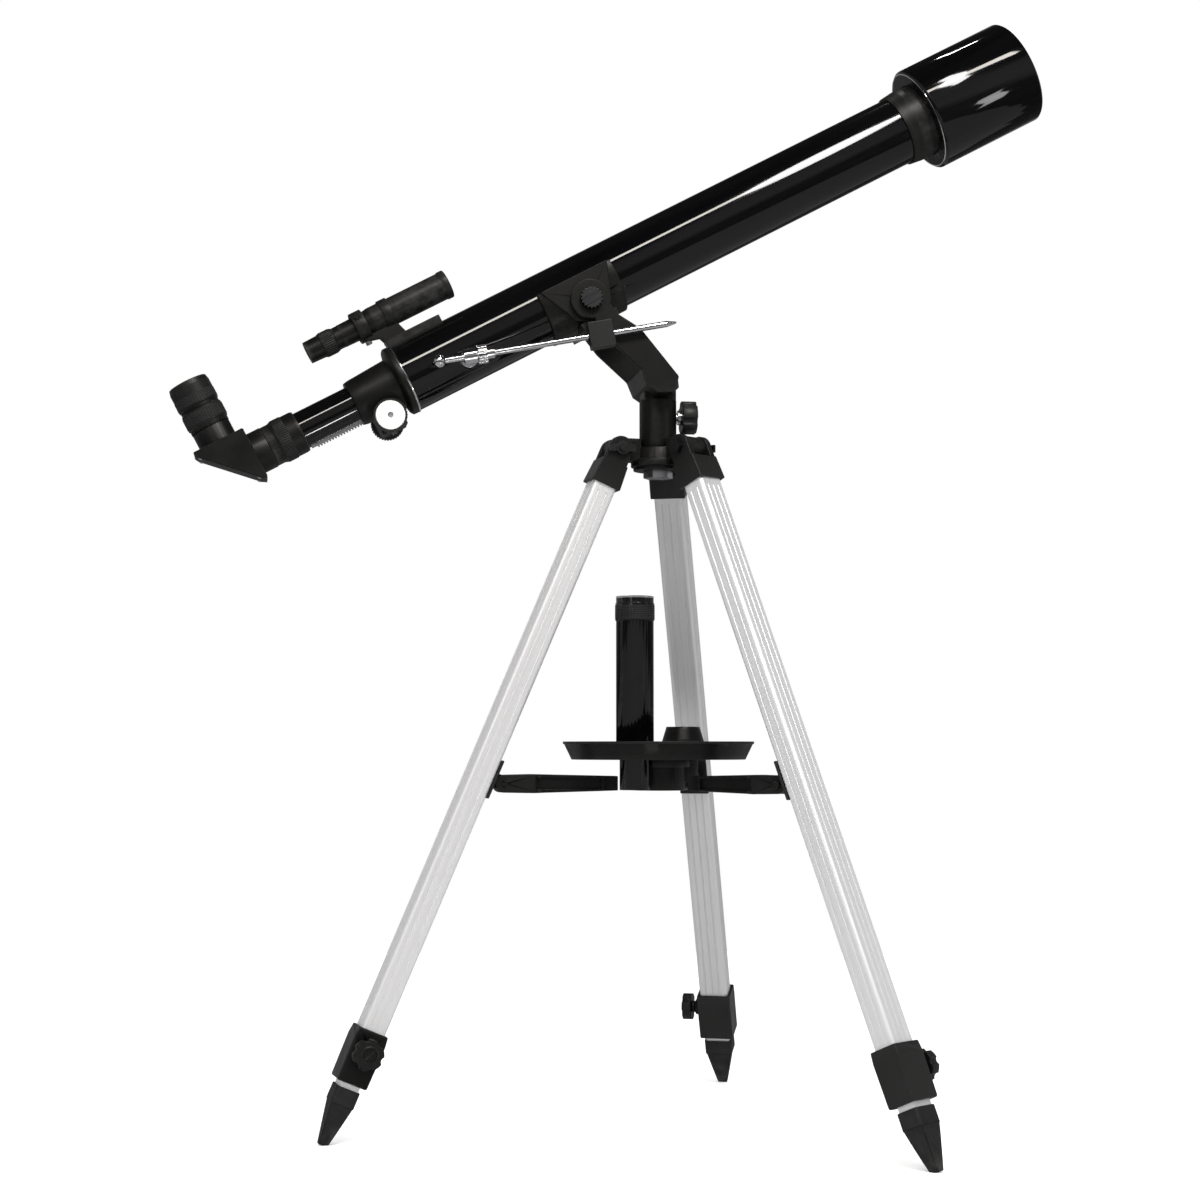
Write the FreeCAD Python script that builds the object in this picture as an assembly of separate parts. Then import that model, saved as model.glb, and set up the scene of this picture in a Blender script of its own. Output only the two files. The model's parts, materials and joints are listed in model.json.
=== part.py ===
import FreeCAD, Part
import math
import os

from FreeCAD import Placement, Rotation
from FreeCAD import Vector as V

# A small refracting telescope on a folding aluminium tripod, in millimetres, +Z up.
# The tripod's own axis is the first working axis: z = 0 at the feet, +X under the telescope's nose.

# ---- driving dimensions: tripod ----
HINGE_R, HINGE_Z = 35.0, 543.0       # leg hinge: distance from the tripod axis, height
FOOT_R = 270.0                       # foot tips, from the tripod axis
LEG_AZIMUTHS = {"rear": 68.0, "left": 188.0, "right": 308.0}
LEG_W, LEG_D, LEG_WALL = 25.0, 20.0, 1.5
CLAMP_TOP, CLAMP_BOTTOM = -498.0, -541.0
UPPER_BOTTOM = -508.0
LOWER_TOP, FOOT_TOP = -70.0, -545.0
SLIDE_GAP = 0.3
ARM_PIVOT = (-20.0, -283.5)          # spreader pivot in the leg's own frame (outward, along)
ARM_END_R = 35.0                     # spreader arm's inner end, from the tripod axis
TRAY_R, TRAY_Z, TRAY_H = 77.0, 293.7, 14.5
TRAY_HOLE_R = 12.4                   # takes a 24.5 mm eyepiece barrel
HUB_R, HUB_BOTTOM = 21.0, 269.0      # boss under the tray
HINGE_PIN_R, ARM_PIN_R = 3.0, 2.0
LUG_HALF, CHEEK_HALF = 9.0, 14.6     # half widths of a hinge lug and of the fork around it

# ---- driving dimensions: mount ----
COLUMN_BOTTOM, COLLAR_TOP, COLLAR_R = 545.4, 585.0, 15.0
SPINDLE_R, SPINDLE_TOP = 8.0, 580.0
ARM_IN, ARM_OUT = 32.6, 37.6         # fork arms, inner and outer faces, from the middle plane
PIVOT_X, PIVOT_Z = -60.0, 660.0      # altitude axis
PIVOT_DROP = 13.6                    # altitude axis below the tube's axis
ALTITUDE = 28.0                      # resting altitude of the tube, degrees
KNOB_Z, STUD_R = 571.0, 3.0          # azimuth lock knob, and its stud

# ---- driving dimensions: telescope (own frame: x along the tube from the pivot, z from its axis) ----
TUBE_R, TUBE_WALL = 28.0, 1.2
TUBE_REAR, TUBE_FRONT = -159.5, 303.0
CELL_FRONT, DEW_BACK, DEW_FRONT, DEW_R = 352.0, 325.0, 419.0, 43.4
LENS_R = 26.0
HOUSING_REAR, HOUSING_REAR_R, SHOULDER_R = -203.7, 18.2, 21.0
DRAW_R, DRAW_FRONT, DRAW_REAR = 15.0, -112.0, -250.7
SLIDE_FIT = 0.3                      # drawtube in its bore, radial
SCREW_X, SCREW_Z, SCREW_R = -264.0, 30.0, 2.0   # set screws: along the collar, up the eyepiece's holder
COLLAR_REAR, COLLAR_RIM, NOSE_R = -278.5, 17.4, 12.2
PINION_X, PINION_Z, SHAFT_R, KNOB_IN = -184.0, -23.4, 2.5, 19.6
TEETH, MODULE, ADDENDUM, DEDENDUM, BACKLASH = 16, 0.8, 0.6, 0.85, 0.24
PRISM_FACE, PRISM_TOP, PRISM_LEG, PRISM_HALF_W = -291.0, 21.0, 45.5, 17.0
EYE_X, EYE_TOP, EYE_R = -312.4, 74.0, 16.8
FINDER_Z, FINDER_R, FINDER_FRONT, FINDER_REAR = 53.0, 11.2, -90.6, -217.0
RING_X, RING_R, RING_BORE = -169.5, 13.0, 11.0   # the finder's rear ring
RING_SCREWS = (30, 150, 270)
ROD_Y, ROD_R = -43.5, 2.5
ROD_TAIL, ROD_TIP = (-132.0, -5.0), (51.0, -62.0)
ROD_ANCHOR_X = -108.5                # clamp on the tube's side
SWIVEL_X = -7.7                      # rod swivel, along the tube from the altitude axis, at rest
RUN = 0.05                           # running clearance on a pin, radial

nodes = {}


# ---- shape helpers ----
def cyl(radius, start, axis, length):
    """A cylinder from start along axis."""
    return Part.makeCylinder(radius, length, V(*start), V(*axis))


def pipe(outer, inner, start, axis, length):
    """A straight tube."""
    return cyl(outer, start, axis, length).cut(cyl(inner, start, axis, length))


def block(x0, x1, y0, y1, z0, z1):
    """A box between two corners."""
    return Part.makeBox(x1 - x0, y1 - y0, z1 - z0, V(x0, y0, z0))


def plate(points, y0, y1):
    """A flat outline in the XZ plane, between two values of y."""
    loop = [V(x, y0, z) for x, z in points]
    return Part.Face(Part.makePolygon(loop + loop[:1])).extrude(V(0, y1 - y0, 0))


def lathe(points):
    """A closed outline of (x, radius), turned about the X axis."""
    loop = [V(x, 0, r) for x, r in points]
    return Part.Face(Part.makePolygon(loop + loop[:1])).revolve(V(0, 0, 0), V(1, 0, 0), 360)


def join(*shapes):
    """One clean solid out of several that overlap."""
    return shapes[0].multiFuse(list(shapes[1:])).removeSplitter()


def rounded_bar(width, depth, radius, z0, z1):
    """A bar along Z: depth on X, width on Y, with its long edges rounded."""
    bar = block(-depth / 2, depth / 2, -width / 2, width / 2, z0, z1)
    edges = [e for e in bar.Edges if abs(e.tangentAt(e.FirstParameter).z) > 0.99]
    return bar.makeFillet(radius, edges)


def lobed_knob(radius, lobes, start, axis, length, lobe_share=0.3):
    """A hand knob with scallops around its rim."""
    body = cyl(radius, (0, 0, 0), (0, 0, 1), length)
    for i in range(lobes):
        a = 2 * math.pi * i / lobes
        reach = radius * (1 + lobe_share * 0.55)
        place = (reach * math.cos(a), reach * math.sin(a), 0)
        body = body.cut(cyl(radius * lobe_share, place, (0, 0, 1), length))
    body.Placement = Placement(V(*start), Rotation(V(0, 0, 1), V(*axis)))
    return body


def fluted(radius, flutes, depth, start, axis, length):
    """A finely fluted round head."""
    body = cyl(radius, (0, 0, 0), (0, 0, 1), length)
    cuts = []
    for i in range(flutes):
        a = 2 * math.pi * i / flutes
        cuts.append(cyl(depth, (radius * math.cos(a), radius * math.sin(a), -1), (0, 0, 1), length + 2))
    body = body.cut(Part.makeCompound(cuts))
    body.Placement = Placement(V(*start), Rotation(V(0, 0, 1), V(*axis)))
    return body


def hexagon(radius, start, axis, length):
    """A hexagonal head or nut."""
    loop = [V(radius * math.cos(math.pi * i / 3), radius * math.sin(math.pi * i / 3), 0) for i in range(6)]
    head = Part.Face(Part.makePolygon(loop + loop[:1])).extrude(V(0, 0, length))
    head.Placement = Placement(V(*start), Rotation(V(0, 0, 1), V(*axis)))
    return head


# ---- frames ----
SPREAD = math.degrees(math.atan2(FOOT_R - HINGE_R, HINGE_Z))
FOOT_TIP = -math.hypot(FOOT_R - HINGE_R, HINGE_Z)


def leg_frame(azimuth):
    """The leg's own frame: x outward, y around the tripod, z up the leg, origin on its hinge."""
    a = math.radians(azimuth)
    lean = Rotation(V(0, 1, 0), -SPREAD)
    turn = Rotation(V(0, 0, 1), azimuth)
    return Placement(V(HINGE_R * math.cos(a), HINGE_R * math.sin(a), HINGE_Z), turn.multiply(lean))


TELESCOPE_FRAME = Placement(V(PIVOT_X, 0, PIVOT_Z), Rotation(V(0, 1, 0), -ALTITUDE)).multiply(
    Placement(V(0, 0, PIVOT_DROP), Rotation()))


def rod_z(x):
    """Height of the slow-motion rod's line at x, in the telescope's frame."""
    slope = (ROD_TIP[1] - ROD_TAIL[1]) / (ROD_TIP[0] - ROD_TAIL[0])
    return ROD_TAIL[1] + slope * (x - ROD_TAIL[0])


ROD_ANCHOR = (ROD_ANCHOR_X, rod_z(ROD_ANCHOR_X))
SWIVEL_AT = TELESCOPE_FRAME.multVec(V(SWIVEL_X, 0, rod_z(SWIVEL_X)))


def put(name, shape, frame=None):
    """Stores a node's shape, moved from its own frame to the tripod's."""
    placed = shape.copy()
    if frame is not None:
        placed.Placement = frame.multiply(placed.Placement)
    nodes[name] = placed


# ---- tripod head ----
def head_casting():
    hub = cyl(20, (0, 0, 527), (0, 0, 1), 18)
    rim = cyl(22, (0, 0, 530), (0, 0, 1), 6)
    lugs = []
    for azimuth in LEG_AZIMUTHS.values():
        lug = block(10, HINGE_R, -LUG_HALF, LUG_HALF, HINGE_Z - 9, HINGE_Z + 2)
        lug = lug.fuse(block(COLLAR_R + 1.6, HINGE_R, -LUG_HALF, LUG_HALF, HINGE_Z, HINGE_Z + 9))
        lug = lug.fuse(cyl(9, (HINGE_R, -LUG_HALF, HINGE_Z), (0, 1, 0), 2 * LUG_HALF))
        lug = lug.cut(cyl(HINGE_PIN_R + RUN, (HINGE_R, -12, HINGE_Z), (0, 1, 0), 24))
        lug.rotate(V(0, 0, 0), V(0, 0, 1), azimuth)
        lugs.append(lug)
    return join(hub, rim, *lugs).cut(cyl(SPINDLE_R, (0, 0, 520), (0, 0, 1), 40))


def spindle():
    post = cyl(SPINDLE_R, (0, 0, 524), (0, 0, 1), SPINDLE_TOP - 524)
    return join(post, hexagon(12, (0, 0, 521), (0, 0, 1), 6))


def hinge_fasteners():
    """One bolt and one wing nut for each leg hinge."""
    bolts, nuts = [], []
    for azimuth in LEG_AZIMUTHS.values():
        bolt = cyl(HINGE_PIN_R, (HINGE_R, -15, HINGE_Z), (0, 1, 0), 36)
        bolt = join(bolt, hexagon(6, (HINGE_R, -19, HINGE_Z), (0, 1, 0), 4.2))
        nut = join(cyl(5.5, (HINGE_R, 15, HINGE_Z), (0, 1, 0), 4),
                   block(HINGE_R - 11, HINGE_R + 11, 16, 18.4, HINGE_Z - 3, HINGE_Z + 3))
        nut = nut.cut(cyl(HINGE_PIN_R, (HINGE_R, 14, HINGE_Z), (0, 1, 0), 10))
        for shape, group in ((bolt, bolts), (nut, nuts)):
            shape.rotate(V(0, 0, 0), V(0, 0, 1), azimuth)
            group.append(shape)
    return Part.makeCompound(bolts + nuts)


# ---- legs ----
def leg_bracket():
    """Plastic top of a leg: a fork on the hinge above a socket for the leg's tube."""
    cheeks = block(-10, 10, -CHEEK_HALF, CHEEK_HALF, -16, 0)
    cheeks = cheeks.fuse(cyl(10, (0, -CHEEK_HALF, 0), (0, 1, 0), 2 * CHEEK_HALF))
    socket = plate([(-11, -12), (11, -12), (12.5, -32.5), (-12.5, -32.5)], -CHEEK_HALF, CHEEK_HALF)
    body = join(cheeks, socket)
    body = body.cut(block(-14, 14, -LUG_HALF - 0.3, LUG_HALF + 0.3, -12, 14))
    body = body.cut(cyl(HINGE_PIN_R + RUN, (0, -20, 0), (0, 1, 0), 40))
    return body.cut(rounded_bar(LEG_W, LEG_D, 3.5, -40, -20))


def upper_tube():
    """Ribbed aluminium extrusion."""
    tube = rounded_bar(LEG_W, LEG_D, 3.5, UPPER_BOTTOM, -20)
    tube = tube.cut(rounded_bar(LEG_W - 2 * LEG_WALL, LEG_D - 2 * LEG_WALL, 2, UPPER_BOTTOM - 1, -19))
    grooves = []
    for y in (-6.0, 0.0, 6.0):
        for x in (-LEG_D / 2, LEG_D / 2):
            grooves.append(cyl(0.7, (x, y, CLAMP_TOP + 2), (0, 0, 1), -CLAMP_TOP - 40))
    for x in (-3.5, 3.5):
        for y in (-LEG_W / 2, LEG_W / 2):
            grooves.append(cyl(0.7, (x, y, CLAMP_TOP + 2), (0, 0, 1), -CLAMP_TOP - 40))
    return tube.cut(Part.makeCompound(grooves))


def leg_clamp():
    """Collar at the foot of the upper tube, with a boss for its thumb screw."""
    low = plate([(-12, CLAMP_TOP), (12, CLAMP_TOP), (13, CLAMP_TOP - 8), (12.4, CLAMP_BOTTOM),
                 (-12.4, CLAMP_BOTTOM), (-13, CLAMP_TOP - 8)], -15, 15)
    boss = cyl(7, (0, 10, CLAMP_TOP - 17), (0, 1, 0), 9)
    body = join(low, boss)
    body = body.cut(rounded_bar(LEG_W, LEG_D, 3.5, UPPER_BOTTOM, CLAMP_TOP + 1))
    body = body.cut(lower_bore(CLAMP_BOTTOM - 1, CLAMP_TOP))
    return body.cut(cyl(3 + RUN, (0, 8, CLAMP_TOP - 17), (0, 1, 0), 14))


def lower_bore(z0, z1):
    return rounded_bar(LEG_W - 2 * LEG_WALL, LEG_D - 2 * LEG_WALL, 2, z0, z1)


def clamp_knob():
    """Thumb screw: a lobed head, a neck and a threaded shank that presses on the lower tube."""
    z = CLAMP_TOP - 17
    shank = cyl(3, (0, 11.4, z), (0, 1, 0), 9)
    neck = cyl(5, (0, 19.4, z), (0, 1, 0), 3)
    return join(shank, neck, lobed_knob(12, 6, (0, 22, z), (0, 1, 0), 8))


def lower_tube():
    outer = LEG_W - 2 * LEG_WALL - 2 * SLIDE_GAP
    deep = LEG_D - 2 * LEG_WALL - 2 * SLIDE_GAP
    tube = rounded_bar(outer, deep, 2, FOOT_TOP - 12, LOWER_TOP)
    return tube.cut(rounded_bar(outer - 3, deep - 3, 1, FOOT_TOP - 13, LOWER_TOP + 1))


def rectangle(half_x, half_y, z):
    """A rectangular wire across the leg."""
    corners = [V(-half_x, -half_y, z), V(half_x, -half_y, z), V(half_x, half_y, z), V(-half_x, half_y, z)]
    return Part.makePolygon(corners + corners[:1])


def foot():
    """Tapered foot pressed over the lower tube, ending in a small ball-ended tip with a flat under it."""
    outer = LEG_W - 2 * LEG_WALL - 2 * SLIDE_GAP
    deep = LEG_D - 2 * LEG_WALL - 2 * SLIDE_GAP
    top = rounded_bar(outer + 3, deep + 3, 3, FOOT_TOP - 13, FOOT_TOP)
    taper = Part.makeLoft([rectangle(9, 11, FOOT_TOP - 12.9), rectangle(3.6, 3.6, FOOT_TIP)], True)
    body = join(top, taper)
    return body.cut(rounded_bar(outer, deep, 2, FOOT_TOP - 12, FOOT_TOP + 1))


def spreader_bracket():
    """Plate on the leg's inner face, with a tongue for the spreader arm."""
    px, pz = ARM_PIVOT
    face = block(-LEG_D / 2 - 2.2, -LEG_D / 2, -12.5, 12.5, pz - 16, pz + 16)
    tongue = join(block(px, -LEG_D / 2 - 1, -4, 4, pz - 6, pz + 6), cyl(6, (px, -4, pz), (0, 1, 0), 8))
    return join(face, tongue).cut(cyl(ARM_PIN_R + RUN, (px, -10, pz), (0, 1, 0), 20))


def spreader_pin():
    px, pz = ARM_PIVOT
    return join(cyl(ARM_PIN_R, (px, -8.4, pz), (0, 1, 0), 16.8), cyl(3.4, (px, -9.6, pz), (0, 1, 0), 1.6))


def leg_brackets():
    """A leg's two plastic brackets, at its hinge and for its spreader arm, with the arm's pin."""
    return Part.makeCompound([leg_bracket(), spreader_bracket(), spreader_pin()])


def leg_point(outward, along):
    """Radius and height in the tripod's frame of a point in a leg's middle plane."""
    s = math.radians(SPREAD)
    return (HINGE_R + outward * math.cos(s) - along * math.sin(s),
            HINGE_Z + outward * math.sin(s) + along * math.cos(s))


def spreader_arm():
    """Arm in the tripod's frame, pointing at +X: forked at the leg, tapering to its free inner end."""
    pr, pz = leg_point(*ARM_PIVOT)
    outline = [(ARM_END_R, pz - 5.8), (ARM_END_R, pz + 5.8), (pr - 24, pz + 7.5), (pr, pz + 7), (pr, pz - 7),
               (pr - 24, pz - 7.5)]
    bar = join(plate(outline, -7.2, 7.2), cyl(7, (pr, -7.2, pz), (0, 1, 0), 14.4))
    bar = bar.cut(block(pr - 11, pr + 12, -4.4, 4.4, pz - 12, pz + 12))
    panel = [(ARM_END_R + 14, pz - 4), (ARM_END_R + 14, pz + 4), (pr - 26, pz + 4.6), (pr - 26, pz - 4.6)]
    for side in (-1, 1):
        def band(middle):
            return sorted((side * (middle - 2.5), side * (middle + 2.5)))
        bar = bar.cut(plate(panel, *band(5.5)))
        bar = bar.cut(block(ARM_END_R - 1, pr - 30, *band(7.5), pz - 12, pz + 12))
        bar = bar.cut(block(ARM_END_R - 1, ARM_END_R + 12, *band(6.5), pz - 12, pz + 12))
    return bar.cut(cyl(ARM_PIN_R + RUN, (pr, -10, pz), (0, 1, 0), 20))


# ---- accessory tray ----
TRAY_HOLES = {"barlow": (-22.8, -24.0), "spare": (23.0, 16.0), "empty_a": (22.0, -38.0),
              "empty_b": (-34.0, 26.0)}


def tray():
    """Shallow dish with a raised floor rim and holes for eyepieces."""
    z, top = TRAY_Z, TRAY_Z + TRAY_H
    dish = Part.makeCone(TRAY_R - 7, TRAY_R, TRAY_H, V(0, 0, z), V(0, 0, 1))
    hollow = Part.makeCone(TRAY_R - 9.2, TRAY_R - 1.8, TRAY_H - 2.5, V(0, 0, z + 2.5), V(0, 0, 1))
    dish = dish.cut(hollow)
    lip = pipe(TRAY_R, TRAY_R - 3.2, (0, 0, top - 2), (0, 0, 1), 2)
    parts = [dish, lip]
    for x, y in TRAY_HOLES.values():
        parts.append(cyl(TRAY_HOLE_R + 2.2, (x, y, z), (0, 0, 1), 6))
    body = join(*parts)
    for x, y in TRAY_HOLES.values():
        body = body.cut(cyl(TRAY_HOLE_R, (x, y, z - 1), (0, 0, 1), 10))
    return body.cut(cyl(4, (0, 0, z - 1), (0, 0, 1), 6))


def tray_hub():
    """Boss under the tray that the spreader arms meet."""
    flange = cyl(HUB_R + 4, (0, 0, TRAY_Z - 6), (0, 0, 1), 6)
    core = cyl(HUB_R, (0, 0, HUB_BOTTOM), (0, 0, 1), TRAY_Z - HUB_BOTTOM)
    body = join(flange, core)
    for x, y in TRAY_HOLES.values():
        body = body.cut(cyl(TRAY_HOLE_R + 1.5, (x, y, HUB_BOTTOM - 1), (0, 0, 1), 40))
    return body.cut(cyl(4, (0, 0, HUB_BOTTOM - 1), (0, 0, 1), 40))


def tray_screw():
    shank = cyl(4, (0, 0, HUB_BOTTOM + 1), (0, 0, 1), TRAY_Z + 3 - HUB_BOTTOM)
    return join(shank, fluted(8, 20, 0.8, (0, 0, TRAY_Z + 2.5), (0, 0, 1), 6))


def barlow():
    """Long tube of a Barlow lens standing in the tray, chrome nose down."""
    x, y = TRAY_HOLES["barlow"]
    seat = TRAY_Z + 6
    body = pipe(15, 12.6, (x, y, seat), (0, 0, 1), 423.5 - seat)
    grip = pipe(15.6, 14.9, (x, y, 404), (0, 0, 1), 14)
    step = pipe(14.9, 10.9, (x, y, seat), (0, 0, 1), 3)
    nose = pipe(NOSE_R, 10.9, (x, y, TRAY_Z - 24), (0, 0, 1), seat + 1 - TRAY_Z + 24)
    lens = cyl(10.9, (x, y, TRAY_Z - 12), (0, 0, 1), 4)
    return join(body, grip, step, nose), lens


def spare_eyepiece():
    x, y = TRAY_HOLES["spare"]
    seat = TRAY_Z + 6
    cup = Part.makeCone(17, 13.5, 11.5, V(x, y, seat + 9), V(0, 0, 1))
    barrel = cyl(NOSE_R, (x, y, TRAY_Z - 18), (0, 0, 1), seat + 1 - TRAY_Z + 18)
    body = join(cyl(17, (x, y, seat), (0, 0, 1), 9), cup, barrel)
    body = body.cut(cyl(10.8, (x, y, TRAY_Z - 19), (0, 0, 1), 36))
    body = body.cut(cyl(7.2, (x, y, seat + 4), (0, 0, 1), 30))
    lens = cyl(7.2, (x, y, seat + 14.5), (0, 0, 1), 4.5)
    return body, lens


# ---- yoke ----
def yoke():
    """Collar that turns on the head's spindle, a cross piece and two cranked arms."""
    collar = cyl(COLLAR_R, (0, 0, COLUMN_BOTTOM), (0, 0, 1), COLLAR_TOP - COLUMN_BOTTOM)
    neck = block(-13, 13, -12.6, 12.6, COLLAR_TOP - 2, 593)
    foot_bar = plate([(-6, 586), (-15, 592), (-20, 604), (-8, 606), (10, 599), (11, 590), (6, 586)],
                     -ARM_OUT, ARM_OUT)
    outline = [(-4, 590), (-15, 600), (-45, 627), (-56, 641), (-60, 660), (-44.2, 656), (-38, 648),
               (-20, 637), (11, 599), (9, 590)]
    arms = []
    for side in (-1, 1):
        y0, y1 = sorted((side * ARM_IN, side * ARM_OUT))
        arm = plate(outline, y0, y1).fuse(cyl(16, (PIVOT_X, y0, PIVOT_Z), (0, 1, 0), y1 - y0))
        if side < 0:
            arm = arm.fuse(cyl(8, (SWIVEL_AT.x, y0, SWIVEL_AT.z), (0, 1, 0), y1 - y0))
        arm = arm.cut(cyl(4 + RUN, (PIVOT_X, y0 - 1, PIVOT_Z), (0, 1, 0), y1 - y0 + 2))
        arms.append(arm)
    body = join(collar, neck, foot_bar, *arms)
    bore = SPINDLE_TOP + 1.4 - COLUMN_BOTTOM
    body = body.cut(cyl(SPINDLE_R + RUN, (0, 0, COLUMN_BOTTOM - 1), (0, 0, 1), bore))
    body = body.cut(cyl(STUD_R + RUN, (5, 0, KNOB_Z), (1, 0, 0), 20))
    pin_hole = cyl(STUD_R + RUN, (SWIVEL_AT.x, -ARM_OUT - 1, SWIVEL_AT.z), (0, 1, 0), ARM_OUT - ARM_IN + 2)
    return body.cut(pin_hole)


def azimuth_knob():
    """Lock knob on a chrome stud that bears on the spindle."""
    stud = cyl(STUD_R, (SPINDLE_R + 0.4, 0, KNOB_Z), (1, 0, 0), 14)
    ring = cyl(6, (COLLAR_R + 1, 0, KNOB_Z), (1, 0, 0), 3)
    head = lobed_knob(13.5, 5, (COLLAR_R + 4, 0, KNOB_Z), (1, 0, 0), 12)
    return join(stud, ring), head.cut(stud)


def rod_swivel():
    """Slotted block that the slow-motion rod runs through, on a pin in the near arm."""
    pin = cyl(STUD_R, (0, -ARM_OUT - 1, 0), (0, 1, 0), ARM_OUT - ARM_IN + 0.8)
    body = block(-10, 10, -ARM_OUT - 11.5, -ARM_OUT - 0.4, -10.8, 10.8)
    body = body.cut(block(-11, 11, ROD_Y - 3.2, ROD_Y + 3.2, -8.6, 8.6))
    body = join(body, pin)
    slope = ALTITUDE + math.degrees(math.atan2(ROD_TIP[1] - ROD_TAIL[1], ROD_TIP[0] - ROD_TAIL[0]))
    body.Placement = Placement(V(SWIVEL_AT.x, 0, SWIVEL_AT.z), Rotation(V(0, 1, 0), -slope))
    return body


# ---- telescope tube ----
def pivot_bolts():
    """Altitude bolts: a hand head outside each arm and a shank into the saddle's ear."""
    bolts = []
    for side in (-1, 1):
        shank = cyl(4, (PIVOT_X, side * 28.4, PIVOT_Z), (0, side, 0), 11)
        bolts.append(join(shank, fluted(9, 18, 1.0, (PIVOT_X, side * 38.2, PIVOT_Z), (0, side, 0), 5)))
    return Part.makeCompound(bolts)


def main_tube():
    return pipe(TUBE_R, TUBE_R - TUBE_WALL, (TUBE_REAR, 0, 0), (1, 0, 0), TUBE_FRONT - TUBE_REAR)


def saddle():
    """Cradle under the tube with an ear each side for the altitude bolts."""
    shell = pipe(TUBE_R + 3, TUBE_R, (-36, 0, 0), (1, 0, 0), 66)
    shell = shell.cut(block(-40, 40, -40, 40, 9, 40))
    ears = []
    for side in (-1, 1):
        y0, y1 = sorted((side * 28.2, side * 32.2))
        ear = plate([(-33, 9), (27, 9), (16, -20), (8, -31), (-8, -31), (-18, -22)], y0, y1)
        ears.append(ear)
    web = block(-16, 16, -32.2, 32.2, -34, -28.0)
    body = join(shell, web, *ears).cut(cyl(TUBE_R, (-50, 0, 0), (1, 0, 0), 100))
    return body.cut(cyl(4, (0, -40, -PIVOT_DROP), (0, 1, 0), 80))


def saddle_screws():
    heads = []
    for x in (-10.0, 10.0):
        head = cyl(4, (x, 0, -36), (0, 0, 1), 2)
        heads.append(head.cut(block(x - 4, x + 4, -0.5, 0.5, -36.1, -35.2)))
    return Part.makeCompound(heads)


def lens_cell():
    """Front cell: a cone over the tube's end, a seat for the objective and a threaded nose."""
    inside = TUBE_R - TUBE_WALL
    seat = DEW_BACK + 8
    return lathe([(TUBE_FRONT - 12, inside), (TUBE_FRONT, inside), (TUBE_FRONT, 29.4),
                  (TUBE_FRONT + 10, 30.6), (CELL_FRONT, 30.6), (CELL_FRONT, LENS_R), (seat, LENS_R),
                  (seat, 24.5), (TUBE_FRONT + 2, 24.5), (TUBE_FRONT - 12, 25.2)])


def lens(x0, x1, radius, bulge_front, bulge_back):
    """A lens between x0 and x1 at its rim, with spherical faces."""
    def face_arc(x, bulge):
        sphere_r = (radius ** 2 + bulge ** 2) / (2 * abs(bulge))
        half = math.asin(radius / sphere_r) / 2
        sag = abs(bulge) - sphere_r * (1 - math.cos(half))
        middle = V(x + math.copysign(sag, bulge), 0, sphere_r * math.sin(half))
        return Part.Arc(V(x, 0, radius), middle, V(x + bulge, 0, 0)).toShape()
    edges = [face_arc(x0, -bulge_back), Part.makeLine(V(x0, 0, radius), V(x1, 0, radius)),
             face_arc(x1, bulge_front), Part.makeLine(V(x1 + bulge_front, 0, 0), V(x0 - bulge_back, 0, 0))]
    outline = Part.Wire(Part.__sortEdges__(edges))
    return Part.Face(outline).revolve(V(0, 0, 0), V(1, 0, 0), 360)


def objective():
    """Two-element achromat in its cell: crown, spacer ring and flint, held by a threaded ring."""
    seat = DEW_BACK + 8
    flint = cyl(LENS_R, (seat, 0, 0), (1, 0, 0), 3.5)
    spacer = pipe(LENS_R, LENS_R - 1.5, (seat + 3.5, 0, 0), (1, 0, 0), 2.5)
    crown = lens(seat + 8, seat + 11.5, LENS_R, 2.2, 1.8)
    ring = pipe(LENS_R, 24.3, (seat + 14, 0, 0), (1, 0, 0), 3)
    return crown, flint, spacer, ring


def dew_cap():
    """Wide hood that pushes onto the front cell."""
    back = DEW_BACK
    return lathe([(back, 30.9), (back, 41.4), (back + 2, DEW_R), (DEW_FRONT - 1.5, DEW_R),
                  (DEW_FRONT, DEW_R - 1.2), (DEW_FRONT, DEW_R - 3), (back + 4, DEW_R - 2.4), (back + 4, 33),
                  (back + 22, 33), (back + 22, 30.9)])


def baffles():
    """Blackened stops inside the tube."""
    rings = []
    inside = TUBE_R - TUBE_WALL
    for x, hole in ((40.0, 16.5), (150.0, 20.0), (250.0, 23.0)):
        stop = pipe(inside, hole, (x, 0, 0), (1, 0, 0), 1.2)
        rings.append(join(stop, pipe(inside, inside - 1, (x, 0, 0), (1, 0, 0), 7)))
    return Part.makeCompound(rings)


# ---- focuser ----
def focuser_housing():
    """Tapered rear casting with the drawtube's bore, the rack's slot and the pinion's pocket."""
    inside = TUBE_R - TUBE_WALL
    bore = DRAW_R + SLIDE_FIT
    shell = lathe([(TUBE_REAR + 10, 24), (TUBE_REAR + 10, inside), (TUBE_REAR, inside), (TUBE_REAR, 28.8),
                   (TUBE_REAR - 4, 28.8), (TUBE_REAR - 5.5, 27), (TUBE_REAR - 7, SHOULDER_R),
                   (HOUSING_REAR + 4, HOUSING_REAR_R + 0.8), (HOUSING_REAR, HOUSING_REAR_R),
                   (HOUSING_REAR, bore), (TUBE_REAR - 7, bore), (TUBE_REAR, 22)])
    bulge = block(PINION_X - 11, PINION_X + 11, -14, 14, PINION_Z - 8.6, -16)
    body = join(shell, bulge)
    body = body.cut(cyl(bore, (HOUSING_REAR - 1, 0, 0), (1, 0, 0), 60))
    body = body.cut(block(HOUSING_REAR - 1, TUBE_REAR + 12, -3.4, 3.4, -18.3, -10))
    body = body.cut(cyl(7.6, (PINION_X, -4, PINION_Z), (0, 1, 0), 8))
    body = body.cut(block(PINION_X - 7.6, PINION_X + 7.6, -4, 4, PINION_Z - 10, PINION_Z))
    return body.cut(cyl(SHAFT_R + RUN, (PINION_X, -30, PINION_Z), (0, 1, 0), 60))


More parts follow.
